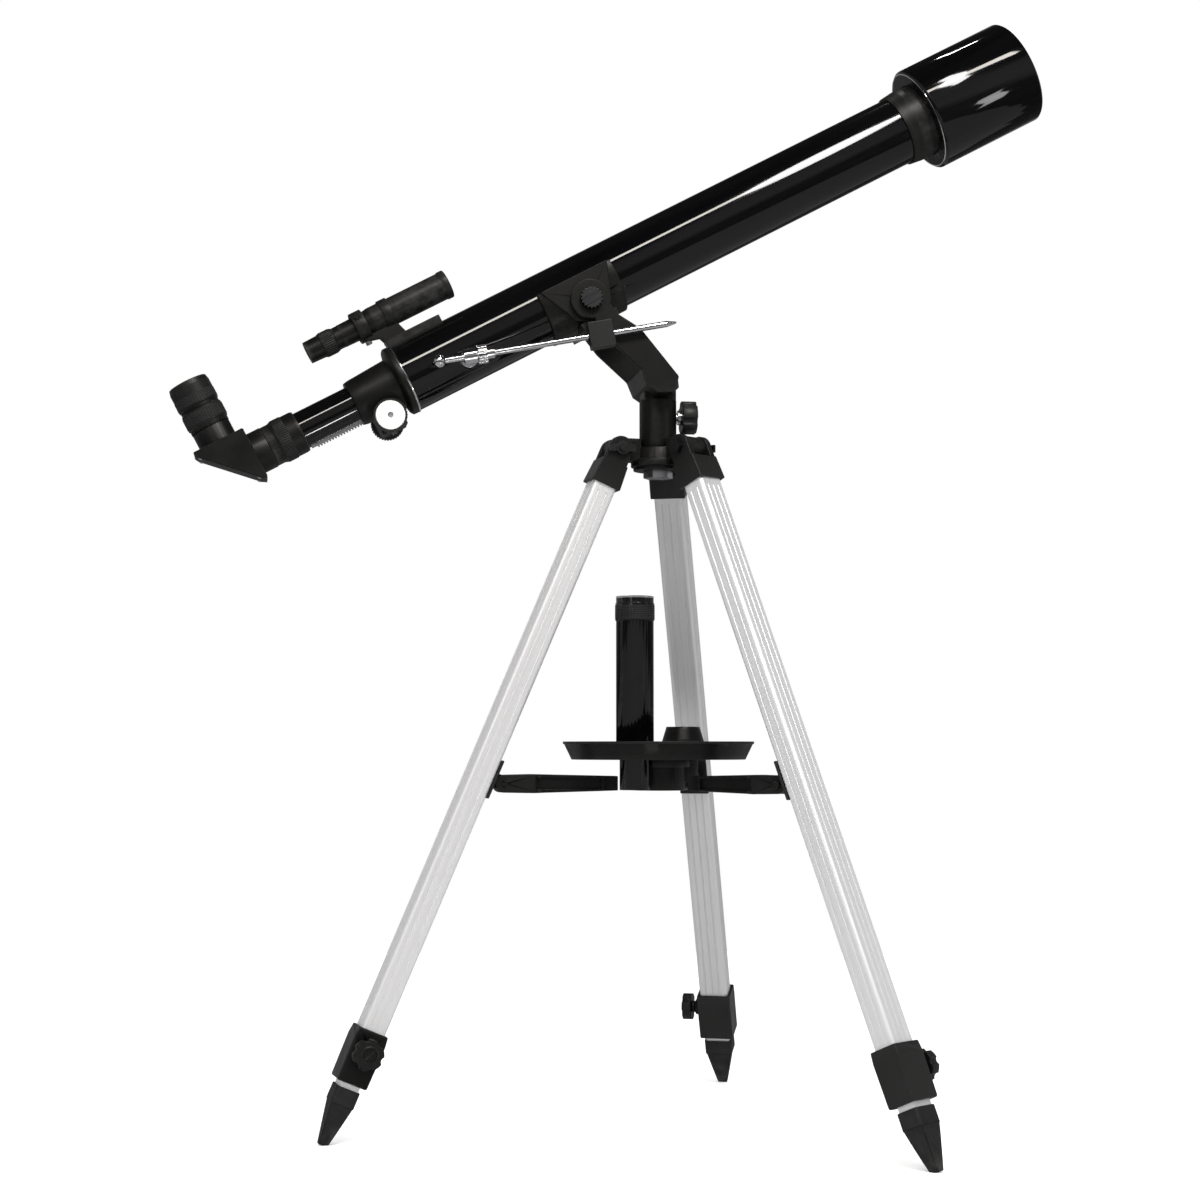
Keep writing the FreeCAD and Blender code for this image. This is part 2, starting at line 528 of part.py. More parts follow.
def pinion_cover():
    """Plate that closes the pinion's pocket from below, with two screws."""
    z = PINION_Z - 8.6
    cover = block(PINION_X - 11, PINION_X + 11, -14, 14, z - 2, z)
    screws = []
    for y in (-10.0, 10.0):
        screws.append(cyl(2.2, (PINION_X, y, z - 3.2), (0, 0, 1), 1.2))
    return cover, Part.makeCompound(screws)


def involute_gear(teeth, module, half_width):
    """Spur pinion about the Y axis, with short teeth and some backlash."""
    pitch, base = teeth * module / 2, teeth * module / 2 * math.cos(math.radians(20))
    tip, root = pitch + ADDENDUM, pitch - DEDENDUM
    half = math.pi / (2 * teeth) - BACKLASH / (2 * pitch)

    def spread_at(radius):
        angle = math.acos(min(1.0, base / radius))
        return math.tan(angle) - angle
    outline = []
    steps = [max(base, root) + (tip - max(base, root)) * i / 4 for i in range(5)]
    for tooth in range(teeth):
        middle = 2 * math.pi * tooth / teeth + math.pi / 2
        flank = [(r, half + spread_at(pitch) - spread_at(r)) for r in steps]
        flank = [(root, flank[0][1])] + flank
        for r, a in flank:
            outline.append((r * math.cos(middle - a), r * math.sin(middle - a)))
        for r, a in reversed(flank):
            outline.append((r * math.cos(middle + a), r * math.sin(middle + a)))
    return plate(outline, -half_width, half_width)


def pinion():
    """Pinion on its shaft, and the two focus knobs on the shaft's ends."""
    end = KNOB_IN + 7.4
    shaft = join(involute_gear(TEETH, MODULE, 3.2), cyl(SHAFT_R, (0, -end, 0), (0, 1, 0), 2 * end))
    bore = cyl(SHAFT_R, (0, -40, 0), (0, 1, 0), 80)
    knobs, faces = [], []
    for side in (-1, 1):
        knob = join(fluted(13.5, 36, 0.6, (0, side * KNOB_IN, 0), (0, side, 0), 7.5),
                    cyl(6, (0, side * (KNOB_IN - 1), 0), (0, side, 0), 2))
        face_y = side * (KNOB_IN + 6.7)
        knobs.append(knob.cut(bore).cut(cyl(11.8, (0, face_y, 0), (0, side, 0), 2)))
        faces.append(Part.makeCone(11.8, 10.8, 1.6, V(0, face_y, 0), V(0, side, 0)).cut(bore))
    for shape in [shaft] + knobs + faces:
        shape.Placement = Placement(V(PINION_X, 0, PINION_Z), Rotation())
    return shaft, Part.makeCompound(knobs), Part.makeCompound(faces)


def drawtube():
    """Chromed sliding tube, with its end collar."""
    tube = pipe(DRAW_R, DRAW_R - 1.2, (DRAW_REAR, 0, 0), (1, 0, 0), DRAW_FRONT - DRAW_REAR)
    slot = block(DRAW_REAR, DRAW_FRONT - 8, -3, 3, -DRAW_R - 1, -DRAW_R + 0.7)
    return tube.cut(slot)


def draw_collar():
    """Ring at the drawtube's end, with a bore for the diagonal's nose and a screw in its far side."""
    body = lathe([(DRAW_REAR, NOSE_R + RUN), (DRAW_REAR, COLLAR_RIM - 0.6), (DRAW_REAR - 2, COLLAR_RIM),
                  (COLLAR_REAR + 8, COLLAR_RIM), (COLLAR_REAR + 6, COLLAR_RIM - 0.8),
                  (COLLAR_REAR, COLLAR_RIM - 0.8), (COLLAR_REAR, NOSE_R + RUN)])
    return body.cut(cyl(SCREW_R, (SCREW_X, 8, 0), (0, 1, 0), 14))


def rack():
    """Toothed strip let into the underside of the drawtube."""
    pitch_z = PINION_Z + TEETH * MODULE / 2
    step = math.pi * MODULE
    lean = math.tan(math.radians(20))
    half = step / 4 - BACKLASH / 4
    outline = [(DRAW_REAR + 2, -DRAW_R + 0.7)]
    count = int((DRAW_FRONT - 10 - (DRAW_REAR + 2)) / step) - 1
    first = PINION_X + step / 2 - step * math.floor((PINION_X - DRAW_REAR - 4) / step)
    root_z, tip_z = pitch_z + DEDENDUM, pitch_z - ADDENDUM
    outline.append((DRAW_REAR + 2, root_z))
    for i in range(count):
        x = first + i * step
        outline.append((x - half - DEDENDUM * lean, root_z))
        outline.append((x - half + ADDENDUM * lean, tip_z))
        outline.append((x + half - ADDENDUM * lean, tip_z))
        outline.append((x + half + DEDENDUM * lean, root_z))
    outline.append((DRAW_FRONT - 9, root_z))
    outline.append((DRAW_FRONT - 9, -DRAW_R + 0.7))
    return plate(outline, -3, 3)


def thumb_screw(start, shank):
    """A small knurled screw pointing at the far side."""
    x, y, z = start
    head = fluted(4.2, 14, 0.5, (x, y + shank, z), (0, 1, 0), 5)
    return join(cyl(SCREW_R, start, (0, 1, 0), shank + 1), head)


# ---- diagonal and eyepiece ----
def triangle(inset, half_width):
    """The star diagonal's right-angled outline, pulled in by inset."""
    x0, top = PRISM_FACE - inset, PRISM_TOP - inset
    leg = PRISM_LEG - inset * (2 + math.sqrt(2))
    return plate([(x0, top), (x0, top - leg), (x0 - leg, top)], -half_width, half_width)


def diagonal():
    body = triangle(0, PRISM_HALF_W)
    tips = [e for e in body.Edges if abs(e.tangentAt(e.FirstParameter).y) > 0.99]
    body = body.makeFillet(1.6, tips)
    nose = cyl(NOSE_R, (COLLAR_REAR + 22, 0, 0), (-1, 0, 0), 36)
    neck = cyl(17, (COLLAR_REAR - 0.4, 0, 0), (-1, 0, 0), COLLAR_REAR + 1 - PRISM_FACE)
    holder = cyl(15.6, (EYE_X, 0, PRISM_TOP - 1), (0, 0, 1), 14)
    body = join(body, nose, neck, holder)
    body = body.cut(cyl(10.6, (COLLAR_REAR + 23, 0, 0), (-1, 0, 0), 40))
    body = body.cut(triangle(2.2, PRISM_HALF_W - 2))
    body = body.cut(cyl(10.6, (EYE_X, 0, 10), (0, 0, 1), 20))
    body = body.cut(cyl(NOSE_R + RUN, (EYE_X, 0, PRISM_TOP + 1), (0, 0, 1), 20))
    return body.cut(cyl(SCREW_R, (EYE_X, 8, SCREW_Z), (0, 1, 0), 14))


def prism():
    return triangle(2.6, PRISM_HALF_W - 2.6)


def eyepiece():
    """Barrel, grip and eye cup turned as one outline, and its two lenses."""
    z0, seat = PRISM_TOP + 3, PRISM_TOP + 13.4
    waist = EYE_R - 0.8
    outline = [(z0, 10.8), (z0, NOSE_R), (seat, NOSE_R), (seat, waist), (seat + 3, waist), (seat + 4, EYE_R),
               (seat + 16, EYE_R), (seat + 17, waist), (seat + 19, waist), (seat + 20, EYE_R),
               (EYE_TOP - 4, EYE_R), (EYE_TOP, EYE_R - 1), (EYE_TOP, 12), (EYE_TOP - 3, 8), (seat + 20, 8),
               (seat + 16, 10.8)]
    body = lathe(outline)
    eye_lens = cyl(8, (EYE_TOP - 9, 0, 0), (1, 0, 0), 5)
    field_lens = cyl(10.8, (z0 + 4, 0, 0), (1, 0, 0), 5)
    stand = Placement(V(EYE_X, 0, 0), Rotation(V(0, 1, 0), -90))
    for shape in (body, eye_lens, field_lens):
        shape.Placement = stand
    return body, Part.makeCompound([eye_lens, field_lens])


# ---- finder ----
def at_finder(shape):
    shape.Placement = Placement(V(0, 0, FINDER_Z), Rotation()).multiply(shape.Placement)
    return shape


def finder():
    """Small sighting telescope: tube, eyepiece end, objective, eye lens and crosshair ring."""
    f, r = FINDER_FRONT, FINDER_REAR
    bore, eye_bore = FINDER_R - 1.6, 5.2
    tube = lathe([(r + 30, 6.6), (r + 30, 9.4), (r + 50, 9.8), (r + 58, FINDER_R), (f, FINDER_R), (f, bore),
                  (r + 40, bore), (r + 40, 6.6)])
    eye = lathe([(r, eye_bore), (r, 9.0), (r + 12, 9.4), (r + 13, 9.9), (r + 24, 9.9), (r + 25, 9.2),
                 (r + 30, 9.2), (r + 30, 6.5), (r + 44, 6.5), (r + 44, eye_bore)])
    front_glass = cyl(bore, (f - 5, 0, 0), (1, 0, 0), 2.5)
    eye_glass = cyl(eye_bore, (r + 2, 0, 0), (1, 0, 0), 2.5)
    wire, reach = 0.15, 4.6
    crosshair = join(pipe(eye_bore, 4.2, (r + 32, 0, 0), (1, 0, 0), 1.5),
                     block(r + 32.4, r + 32.8, -wire, wire, -reach, reach),
                     block(r + 32.4, r + 32.8, -reach, reach, -wire, wire))
    body = Part.makeCompound([tube, eye, crosshair])
    return at_finder(body), at_finder(Part.makeCompound([front_glass, eye_glass]))


def finder_bracket():
    """Foot along the tube, a post and two rings: the front holds the finder, the rear centres it."""
    foot_plate = pipe(TUBE_R + 6, TUBE_R, (-158, 0, 0), (1, 0, 0), 48)
    foot_plate = foot_plate.common(block(-160, -100, -8, 8, 20, 40))
    post = plate([(-156, 29), (-138, 29), (-143, 45), (-170, 45), (-172, 41), (-160, 38)], -6, 6)
    post = post.cut(cyl(TUBE_R, (-170, 0, 0), (1, 0, 0), 80))
    rear = pipe(RING_R, RING_BORE, (RING_X - 5, 0, FINDER_Z), (1, 0, 0), 10)
    front = pipe(RING_R - 0.6, FINDER_R + 0.2, (-150, 0, FINDER_Z), (1, 0, 0), 8)
    body = join(foot_plate, post, rear, front)
    body = body.cut(cyl(FINDER_R + 0.2, (RING_X + 6, 0, FINDER_Z), (1, 0, 0), 30))
    body = body.cut(cyl(RING_BORE, (RING_X - 10, 0, FINDER_Z), (1, 0, 0), 20)).removeSplitter()
    for angle in RING_SCREWS:
        c, s = math.cos(math.radians(angle)), math.sin(math.radians(angle))
        body = body.cut(cyl(1.6, (RING_X, 8 * c, FINDER_Z + 8 * s), (0, c, s), 8))
    return body


def finder_screws():
    """Three small screws that press on the finder through its rear ring."""
    screws = []
    for angle in RING_SCREWS:
        c, s = math.cos(math.radians(angle)), math.sin(math.radians(angle))
        shank = cyl(1.6, (RING_X, 9.85 * c, FINDER_Z + 9.85 * s), (0, c, s), 5)
        seat = RING_R + 0.4
        head = fluted(2.6, 12, 0.4, (RING_X, seat * c, FINDER_Z + seat * s), (0, c, s), 2.6)
        screws.append(join(shank, head))
    return Part.makeCompound(screws)


# ---- slow-motion rod ----
def rod_direction():
    dx, dz = ROD_TIP[0] - ROD_TAIL[0], ROD_TIP[1] - ROD_TAIL[1]
    length = math.hypot(dx, dz)
    return (dx / length, 0.0, dz / length), length


def rod():
    axis, length = rod_direction()
    start = (ROD_TAIL[0], ROD_Y, ROD_TAIL[1])
    shaft = cyl(ROD_R, start, axis, length - 8)
    tip_at = tuple(s + a * (length - 8) for s, a in zip(start, axis))
    tip = Part.makeCone(ROD_R, 0.8, 8, V(*tip_at), V(*axis))
    return join(shaft, Part.makeSphere(5, V(*start)), tip)


def rod_clamp():
    """Post on the tube's side with an eye around the rod."""
    axis, _ = rod_direction()
    x, z = ROD_ANCHOR
    base = cyl(7, (x, -24, z), (0, -1, 0), 7.5).cut(cyl(TUBE_R, (x - 20, 0, 0), (1, 0, 0), 40))
    post = cyl(3.5, (x, -31, z), (0, -1, 0), 10)
    eye = cyl(6, tuple(p - a * 5 for p, a in zip((x, ROD_Y, z), axis)), axis, 10)
    body = join(base, post, eye)
    return body.cut(cyl(ROD_R, tuple(p - a * 30 for p, a in zip((x, ROD_Y, z), axis)), axis, 60))


def rod_knob():
    """Knurled fine-adjustment nut on the rod, in front of the clamp."""
    axis, _ = rod_direction()
    x, z = ROD_ANCHOR
    start = tuple(p + a * 6 for p, a in zip((x, ROD_Y, z), axis))
    nut = join(fluted(7.5, 16, 0.9, start, axis, 7), cyl(4.4, start, axis, 13))
    return nut.cut(cyl(ROD_R + RUN, tuple(p - a * 5 for p, a in zip(start, axis)), axis, 30))


# ---- assembly ----
def build_tripod():
    put("tripod_head", head_casting())
    put("azimuth_spindle", spindle())
    put("leg_hinge_fasteners", hinge_fasteners())
    makers = {"brackets": leg_brackets, "upper_tube": upper_tube, "clamp": leg_clamp,
              "clamp_knob": clamp_knob, "lower_tube": lower_tube, "foot": foot}
    cut_floor = block(-400, 400, -400, 400, -60, 0)
    for side, azimuth in LEG_AZIMUTHS.items():
        for piece, maker in makers.items():
            put(f"leg_{side}_{piece}", maker(), leg_frame(azimuth))
        nodes[f"leg_{side}_foot"] = nodes[f"leg_{side}_foot"].cut(cut_floor)
        put(f"spreader_arm_{side}", spreader_arm(), Placement(V(0, 0, 0), Rotation(V(0, 0, 1), azimuth)))


def build_tray():
    put("accessory_tray", tray())
    put("tray_hub", Part.makeCompound([tray_hub(), tray_screw()]))
    tube, glass = barlow()
    put("barlow_tube", tube)
    spare, spare_glass = spare_eyepiece()
    put("spare_eyepiece", spare)
    put("accessory_lenses", Part.makeCompound([glass, spare_glass]))


def build_mount():
    put("yoke", yoke())
    stud, head = azimuth_knob()
    put("azimuth_lock_stud", stud)
    put("azimuth_lock_knob", head)
    put("altitude_bolts", pivot_bolts())
    put("rod_swivel_block", rod_swivel())


def build_telescope():
    crown, flint, spacer, ring = objective()
    cover, cover_screws = pinion_cover()
    shaft, knobs, faces = pinion()
    eye_body, eye_glass = eyepiece()
    finder_body, finder_glass = finder()
    shapes = {
        "main_tube": main_tube(), "saddle": saddle(),
        "lens_cell": Part.makeCompound([lens_cell(), spacer, ring]),
        "objective_lenses": Part.makeCompound([crown, flint]),
        "telescope_screws": Part.makeCompound([saddle_screws(), cover_screws, finder_screws()]),
        "baffles": baffles(), "dew_cap": dew_cap(), "focuser_housing": focuser_housing(),
        "pinion_cover": cover, "focus_pinion": shaft, "focus_knobs": knobs, "focus_knob_faces": faces,
        "drawtube": drawtube(), "drawtube_collar": draw_collar(), "focus_rack": rack(),
        "collar_screw": thumb_screw((SCREW_X, 12.6, 0), 5.2), "diagonal_housing": diagonal(),
        "diagonal_prism": prism(), "diagonal_screw": thumb_screw((EYE_X, 12.6, SCREW_Z), 3.2),
        "eyepiece": eye_body, "eyepiece_lenses": eye_glass, "finder": finder_body,
        "finder_lenses": finder_glass,
        "finder_bracket": finder_bracket(), "slow_motion_rod": Part.makeCompound([rod(), rod_clamp()]),
        "rod_knob": rod_knob(),
    }
    for name, shape in shapes.items():
        put(name, shape, TELESCOPE_FRAME)


build_tripod()
build_tray()
build_mount()
build_telescope()

# The part's origin is the middle of the bottom of its box.
box = FreeCAD.BoundBox()
for shape in nodes.values():
    box.add(shape.optimalBoundingBox(False, False))
SHIFT = V(-box.Center.x, -box.Center.y, -box.ZMin)

os.makedirs("parts", exist_ok=True)
for name, shape in nodes.items():
    shape.translate(SHIFT)
    shape.exportStep(f"parts/{name}.step")
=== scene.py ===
import json
import math

import bpy
from mathutils import Matrix, Vector


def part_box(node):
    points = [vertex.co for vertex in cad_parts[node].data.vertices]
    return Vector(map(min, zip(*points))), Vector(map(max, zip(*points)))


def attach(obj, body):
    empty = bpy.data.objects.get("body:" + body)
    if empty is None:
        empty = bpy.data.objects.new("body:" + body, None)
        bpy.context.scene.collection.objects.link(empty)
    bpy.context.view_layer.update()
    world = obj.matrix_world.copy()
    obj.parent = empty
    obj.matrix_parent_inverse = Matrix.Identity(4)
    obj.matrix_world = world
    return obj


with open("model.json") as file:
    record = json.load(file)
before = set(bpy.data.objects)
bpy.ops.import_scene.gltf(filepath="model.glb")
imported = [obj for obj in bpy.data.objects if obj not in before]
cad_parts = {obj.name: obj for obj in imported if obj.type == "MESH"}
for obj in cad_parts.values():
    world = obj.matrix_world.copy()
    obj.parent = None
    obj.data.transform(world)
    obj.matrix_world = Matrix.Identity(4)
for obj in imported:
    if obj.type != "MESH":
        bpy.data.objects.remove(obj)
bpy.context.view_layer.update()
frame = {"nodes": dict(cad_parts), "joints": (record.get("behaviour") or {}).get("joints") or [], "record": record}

# ---- places read from the frame ----
JOINTS = {joint["name"]: joint for joint in frame["joints"]}
SIDES = ("rear", "left", "right")


def middle(node):
    low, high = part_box(node)
    return (low + high) / 2


AXIS = middle("azimuth_spindle")                       # the tripod's own axis
TUBE_DIR = Vector(JOINTS["dew_cap_pull"]["axis"]).normalized()
TUBE_UP = Vector((-TUBE_DIR.z, 0, TUBE_DIR.x))
SIDEWAYS, UPRIGHT = Vector((0, 1, 0)), Vector((0, 0, 1))
TUBE_MIDDLE = middle("main_tube")


def on_tube(along, up=0.0):
    """A point given from the middle of the main tube: along its axis, and above it."""
    return TUBE_MIDDLE + TUBE_DIR * along + TUBE_UP * up


def leg_axes(side):
    """Along, tangent and outward directions of a leg."""
    along = Vector(JOINTS[f"leg_slide_{side}"]["axis"]).normalized()
    tangent = Vector(JOINTS[f"leg_fold_{side}"]["axis"]).normalized()
    return along, tangent, along.cross(tangent).normalized()


# ---- node tree helpers ----
class Tree:
    """A material's node tree, built a node at a time."""

    def __init__(self, name):
        self.material = bpy.data.materials.new(name)
        self.material.use_nodes = True
        self.nodes = self.material.node_tree.nodes
        self.links = self.material.node_tree.links
        self.shader = self.nodes["Principled BSDF"]
        self.coords = self.add("ShaderNodeTexCoord").outputs["Object"]

    def add(self, kind, **values):
        node = self.nodes.new(kind)
        for name, value in values.items():
            setattr(node, name, value)
        return node

    def link(self, source, target):
        self.links.new(source, target)

    def set(self, **values):
        for name, value in values.items():
            self.shader.inputs[name.replace("_", " ")].default_value = value

    def noise(self, scale, detail=3.0, roughness=0.55, vector=None):
        node = self.add("ShaderNodeTexNoise")
        node.inputs["Scale"].default_value = scale
        node.inputs["Detail"].default_value = detail
        node.inputs["Roughness"].default_value = roughness
        self.link(vector or self.coords, node.inputs["Vector"])
        return node.outputs["Fac"]

    def span(self, source, low, high, from_low=0.3, from_high=0.7):
        """The source clamped and stretched, so that from_low gives low and from_high gives high."""
        node = self.add("ShaderNodeMapRange")
        node.inputs["From Min"].default_value = from_low
        node.inputs["From Max"].default_value = from_high
        node.inputs["To Min"].default_value = low
        node.inputs["To Max"].default_value = high
        self.link(source, node.inputs["Value"])
        return node.outputs["Result"]

    def maths(self, kind, first, second):
        node = self.add("ShaderNodeMath", operation=kind)
        for socket, value in zip(node.inputs, (first, second)):
            if isinstance(value, (int, float)):
                socket.default_value = value
            else:
                self.link(value, socket)
        return node.outputs["Value"]

    def mix(self, factor, first, second):
        node = self.add("ShaderNodeMix", data_type="RGBA")
        for socket, value in ((node.inputs[0], factor), (node.inputs[6], first), (node.inputs[7], second)):
            if isinstance(value, (int, float)):
                socket.default_value = value
            elif isinstance(value, tuple):
                socket.default_value = (*value, 1)
            else:
                self.link(value, socket)
        return node.outputs[2]

    def dot(self, direction):
        node = self.add("ShaderNodeVectorMath", operation="DOT_PRODUCT")
        self.link(self.coords, node.inputs[0])
        node.inputs[1].default_value = direction
        return node.outputs["Value"]

    def axes(self, along, tangent, outward, stretch):
        """Coordinates with the first direction drawn out by stretch, for lengthwise grain."""
        node = self.add("ShaderNodeCombineXYZ")
        self.link(self.maths("MULTIPLY", self.dot(along), stretch), node.inputs[0])
        self.link(self.dot(tangent), node.inputs[1])
        self.link(self.dot(outward), node.inputs[2])
        return node.outputs["Vector"]

    def bump(self, height, strength, distance=0.0002):
        node = self.add("ShaderNodeBump")
        node.inputs["Strength"].default_value = strength
        node.inputs["Distance"].default_value = distance
        self.link(height, node.inputs["Height"])
        self.link(node.outputs["Normal"], self.shader.inputs["Normal"])

    def edge(self, low=0.51, high=0.56):
        """1 on worn convex edges, 0 elsewhere."""
        point = self.add("ShaderNodeNewGeometry").outputs["Pointiness"]
        return self.span(point, 0.0, 1.0, low, high)


# ---- materials ----
def gloss_enamel():
    """Black enamel of the tube: deep, smooth, with a trace of orange peel and faint handling marks."""
    t = Tree("black_gloss_enamel")
    grain = t.axes(TUBE_DIR, SIDEWAYS, TUBE_UP, 0.08)
    marks = t.noise(70.0, 5.0, 0.6, grain)
    peel = t.noise(900.0, 2.0)
    t.link(t.mix(t.span(marks, 0.0, 1.0), (0.0008, 0.0008, 0.001), (0.0024, 0.0024, 0.0026)),
           t.shader.inputs["Base Color"])
    t.link(t.span(marks, 0.045, 0.075), t.shader.inputs["Roughness"])
    t.bump(peel, 0.02, 0.0001)
    t.set(Specular_IOR_Level=0.45)
    return t.material


def satin_plastic():
    """Moulded black plastic: fine spark-eroded grain, slightly polished edges."""
    t = Tree("black_satin_plastic")
    grain = t.noise(1500.0, 3.0, 0.6)
    patch = t.noise(45.0, 4.0)
    base = t.mix(t.span(patch, 0.0, 1.0), (0.002, 0.0022, 0.002), (0.0042, 0.0044, 0.0042))
    wear = t.maths("MULTIPLY", t.edge(), 0.5)
    t.link(t.mix(wear, base, (0.022, 0.022, 0.022)), t.shader.inputs["Base Color"])
    t.link(t.span(patch, 0.34, 0.44), t.shader.inputs["Roughness"])
    t.bump(grain, 0.25, 0.0002)
    t.set(Specular_IOR_Level=0.22)
    return t.material


def powder_coat():
    """Black powder coat on metal castings: fine pebbled skin, a little wear on the edges."""
    t = Tree("black_powder_coat")
    pebble = t.noise(1100.0, 2.0, 0.5)
    patch = t.noise(30.0, 5.0, 0.6)
    base = t.mix(t.span(patch, 0.0, 1.0), (0.003, 0.0031, 0.0027), (0.0048, 0.0048, 0.0043))
    wear = t.maths("MULTIPLY", t.edge(0.53, 0.6), t.span(t.noise(160.0), 0.0, 0.5))
    t.link(t.mix(wear, base, (0.05, 0.05, 0.05)), t.shader.inputs["Base Color"])
    t.link(t.span(patch, 0.38, 0.46), t.shader.inputs["Roughness"])
    t.bump(pebble, 0.3, 0.0002)
    t.set(Specular_IOR_Level=0.22)
    return t.material


def anodised(side, name, shade):
    """Silver extrusion: long die lines under faintly clouded anodising."""
    t = Tree(name)
    along, tangent, outward = leg_axes(side)
    lines = t.noise(900.0, 4.0, 0.7, t.axes(along, tangent, outward, 0.004))
    cloud = t.noise(16.0, 3.0, 0.5, t.axes(along, tangent, outward, 0.25))
    dark = tuple(c * 0.86 for c in shade)
    colour = t.mix(t.span(lines, 0.0, 1.0), dark, shade)
    clouded = tuple(c * 0.93 for c in shade)
    t.link(t.mix(t.span(cloud, 0.0, 0.3), colour, clouded), t.shader.inputs["Base Color"])
    t.link(t.span(lines, 0.3, 0.44), t.shader.inputs["Roughness"])
    t.bump(lines, 0.2, 0.0001)
    t.set(Metallic=0.6)
    return t.material


def bright_metal(name, colour, rough_low, rough_high):
    """Plated or turned metal with fine turning marks."""
    t = Tree(name)
    lines = t.noise(500.0, 3.0, 0.6, t.axes(TUBE_DIR, SIDEWAYS, TUBE_UP, 0.05))
    dark = tuple(c * 0.8 for c in colour)
    t.link(t.mix(t.span(lines, 0.0, 1.0), dark, colour), t.shader.inputs["Base Color"])
    t.link(t.span(lines, rough_low, rough_high), t.shader.inputs["Roughness"])
    t.bump(lines, 0.08, 0.0001)
    t.set(Metallic=1.0)
    return t.material


def ivory_plastic():
    """Pale gloss plastic of the focus knob's face."""
    t = Tree("ivory_plastic")
    cloud = t.noise(90.0, 4.0)
    t.link(t.mix(t.span(cloud, 0.0, 1.0), (0.88, 0.85, 0.83), (0.96, 0.94, 0.92)),
           t.shader.inputs["Base Color"])
    t.link(t.span(cloud, 0.18, 0.32), t.shader.inputs["Roughness"])
    t.bump(t.noise(600.0), 0.05, 0.0001)
    return t.material


def coated_glass():
    """Lens glass with a faint blue-green coating and a trace of dust."""
    t = Tree("coated_glass")
    dust = t.noise(400.0, 6.0, 0.7)
    t.link(t.mix(t.span(dust, 0.0, 1.0, 0.55, 0.8), (0.80, 0.90, 0.95), (0.92, 0.95, 0.96)),
           t.shader.inputs["Base Color"])
    t.link(t.span(dust, 0.01, 0.06, 0.5, 0.8), t.shader.inputs["Roughness"])
    t.set(Transmission_Weight=0.9, IOR=1.52)
    return t.material


def rubber():
    """Dull black rubber of the feet, scuffed pale low down."""
    t = Tree("foot_rubber")
    grain = t.noise(700.0, 4.0, 0.65)
    patch = t.noise(60.0, 5.0, 0.6)
    split = t.add("ShaderNodeSeparateXYZ")
    t.link(t.coords, split.inputs[0])
    low = t.span(split.outputs["Z"], 1.0, 0.0, 0.0, 0.02)
    scuff = t.maths("MULTIPLY", low, t.span(patch, 0.0, 0.5, 0.45, 0.7))
    base = t.mix(t.span(patch, 0.0, 1.0), (0.007, 0.0075, 0.0075), (0.014, 0.0145, 0.0145))
    t.link(t.mix(scuff, base, (0.09, 0.085, 0.08)), t.shader.inputs["Base Color"])
    t.link(t.span(grain, 0.5, 0.75), t.shader.inputs["Roughness"])
    t.bump(grain, 0.4, 0.0003)
    t.set(Specular_IOR_Level=0.28)
    return t.material


def paint(node, material):
    """Gives a carried-over CAD node its material."""
    mesh = frame["nodes"][node].data
    mesh.materials.clear()
    mesh.materials.append(material)


# aluminium of each leg, with painted shade: the rear one darker, the left one a little darker than the right
LEG_COLOURS_WITH_PAINTED_SHADE = {"rear": (0.70, 0.70, 0.71), "left": (0.84, 0.84, 0.85), "right": (0.86, 0.86, 0.88)}
LOOKS = {
    "black_gloss": gloss_enamel(), "black_satin": satin_plastic(), "black_metal": powder_coat(),
    "chrome": bright_metal("chrome_plate", (0.80, 0.80, 0.82), 0.08, 0.16),
    "steel": bright_metal("zinc_steel", (0.60, 0.60, 0.62), 0.25, 0.4),
    "cream": ivory_plastic(), "glass": coated_glass(), "rubber": rubber(),
}
for entry in frame["record"]["subparts"]:
    if entry["material_slot"] in LOOKS:
        paint(entry["node"], LOOKS[entry["material_slot"]])
blackened = bright_metal("blackened_steel", (0.06, 0.06, 0.062), 0.3, 0.42)
paint("altitude_bolts", blackened)
paint("leg_hinge_fasteners", blackened)
for side in SIDES:
    # each leg gets its own copy of the aluminium, coloured with its painted shade
    silver = anodised(side, f"anodised_{side}", LEG_COLOURS_WITH_PAINTED_SHADE[side])
    paint(f"leg_{side}_upper_tube", silver)
    paint(f"leg_{side}_lower_tube", silver)


# ---- softened edges of the castings and mouldings, in metres ----
SOFT_EDGES = {"saddle": 0.0006, "yoke": 0.0009, "tripod_head": 0.0006, "accessory_tray": 0.0003,
              "rod_swivel_block": 0.0008, "azimuth_lock_knob": 0.0006, "diagonal_housing": 0.0004,
              "pinion_cover": 0.0008, "finder_bracket": 0.0004, "focuser_housing": 0.0003,
              "barlow_tube": 0.0003, "altitude_bolts": 0.0003, "spare_eyepiece": 0.0003,
              "dew_cap": 0.0003, "tray_hub": 0.0004}
for side in SIDES:
    SOFT_EDGES.update({f"leg_{side}_brackets": 0.0007, f"leg_{side}_clamp": 0.0014,
                       f"spreader_arm_{side}": 0.0006, f"leg_{side}_clamp_knob": 0.0006,
                       f"leg_{side}_foot": 0.0005})
for node, width in SOFT_EDGES.items():
    weld = frame["nodes"][node].modifiers.new("weld", "WELD")
    weld.merge_threshold = 0.000002
    soften = frame["nodes"][node].modifiers.new("soft_edges", "BEVEL")
    soften.width, soften.segments, soften.limit_method = width, 2, "ANGLE"
    soften.angle_limit = math.radians(35)
    soften.use_clamp_overlap = False
    soften.harden_normals = True


